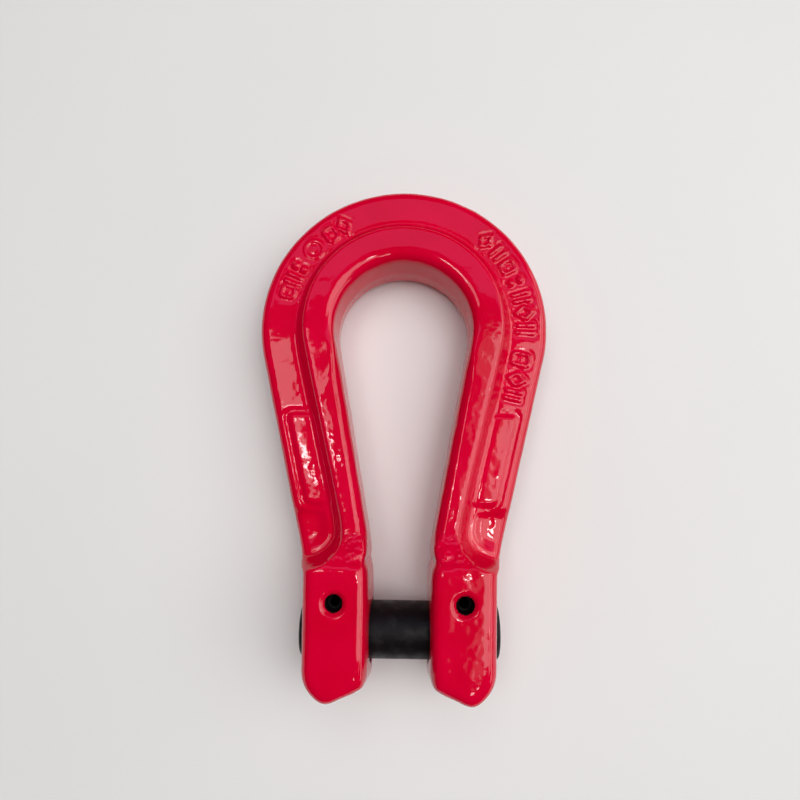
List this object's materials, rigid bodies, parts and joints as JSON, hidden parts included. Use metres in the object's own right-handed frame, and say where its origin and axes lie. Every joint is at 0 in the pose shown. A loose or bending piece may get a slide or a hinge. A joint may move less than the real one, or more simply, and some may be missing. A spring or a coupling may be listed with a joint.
{
  "type": "clevis dee shackle",
  "caption": "Forged red lifting shackle: teardrop bow with a rounded inner bead, two clevis ears and a black load pin held by spring pins.",
  "frame": {"origin": "middle of the load pin, on the pin's axis and on the forging's parting plane", "axes": "+X along the load pin, +Y from the load pin to the crown of the bow, +Z square to the forging's parting plane"},
  "size_m": [0.0654, 0.1124, 0.023],
  "materials": {
    "red_paint": "thick glossy crimson paint over a forged surface",
    "black_steel": "matte black oxide, slightly scratched"
  },
  "bodies": {
    "forging": {"shackle_body": "red_paint", "retaining_pin_left": "black_steel", "retaining_pin_right": "black_steel"},
    "pin": {"load_pin": "black_steel"}
  },
  "joints": [
    {"name": "load_pin_spin", "type": "hinge", "parent": "forging", "child": "pin", "pos_m": [0, 0, 0], "axis": [1, 0, 0], "continuous": true}
  ]
}
